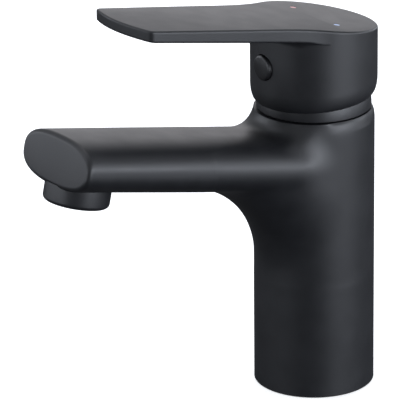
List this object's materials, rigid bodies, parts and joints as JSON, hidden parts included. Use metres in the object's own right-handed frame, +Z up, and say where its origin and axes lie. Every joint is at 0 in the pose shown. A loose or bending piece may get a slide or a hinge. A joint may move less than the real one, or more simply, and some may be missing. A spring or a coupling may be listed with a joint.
{
  "type": "basin mixer faucet",
  "caption": "Matte black single-lever basin mixer: round column, flattened rising spout with an aerator, flat lever on a round skirt, ceramic-disc cartridge inside.",
  "frame": {"origin": "centre of the round base, in the plane where it sits on the basin deck", "axes": "+Z up, the spout points to -Y, and +X is the cold side, on the right of a user who stands in front and looks along +Y"},
  "size_m": [0.0484, 0.1467, 0.1637],
  "materials": {
    "body_coat": "matte black powder coat over cast brass",
    "handle_coat": "matte black powder coat over cast zinc",
    "trim_coat": "matte black powder coat",
    "cap_plastic": "moulded black plastic",
    "hot_enamel": "pale red enamel dot",
    "cold_enamel": "pale blue enamel dot",
    "machined_brass": "turned and milled",
    "steel": "stainless, ground",
    "ceramic": null,
    "white_acetal": "moulded acetal",
    "grey_acetal": "moulded acetal",
    "black_rubber": "moulded EPDM"
  },
  "bodies": {
    "root": {"body_casting": "body_coat", "trim_dome": "trim_coat", "aerator_collar": "trim_coat", "cartridge_nut": "machined_brass", "fixed_ceramic_disc": "ceramic", "cartridge_housing": "white_acetal", "cartridge_base": "white_acetal", "aerator_insert": "white_acetal", "aerator_screen": "grey_acetal", "base_gasket": "black_rubber", "hot_port_seal": "black_rubber", "cold_port_seal": "black_rubber", "disc_seal": "black_rubber", "housing_oring": "black_rubber", "aerator_washer": "black_rubber"},
    "turning_sleeve": {"turn_sleeve": "grey_acetal", "stem_pin": "steel"},
    "lever": {"stem": "machined_brass", "lever_handle": "handle_coat", "grub_screw": "steel", "screw_cap": "cap_plastic", "hot_mark": "hot_enamel", "cold_mark": "cold_enamel"},
    "upper_disc": {"disc_carrier": "grey_acetal", "moving_ceramic_disc": "ceramic"}
  },
  "joints": [
    {"name": "handle_turn", "type": "hinge", "parent": "root", "child": "turning_sleeve", "pos_m": [0, 0, 0.112], "axis": [0, 0, 1], "range_deg": [-45, 45]},
    {"name": "handle_lift", "type": "hinge", "parent": "turning_sleeve", "child": "lever", "pos_m": [0, 0, 0.112], "axis": [-1, 0, 0], "range_deg": [0, 20]},
    {"name": "disc_slide", "type": "slide", "parent": "turning_sleeve", "child": "upper_disc", "axis": [0, -1, 0], "range_m": [0, 0.0054]}
  ],
  "couplings": [
    {"joint": "disc_slide", "follows": "handle_lift", "m_per_rad": 0.0154}
  ]
}
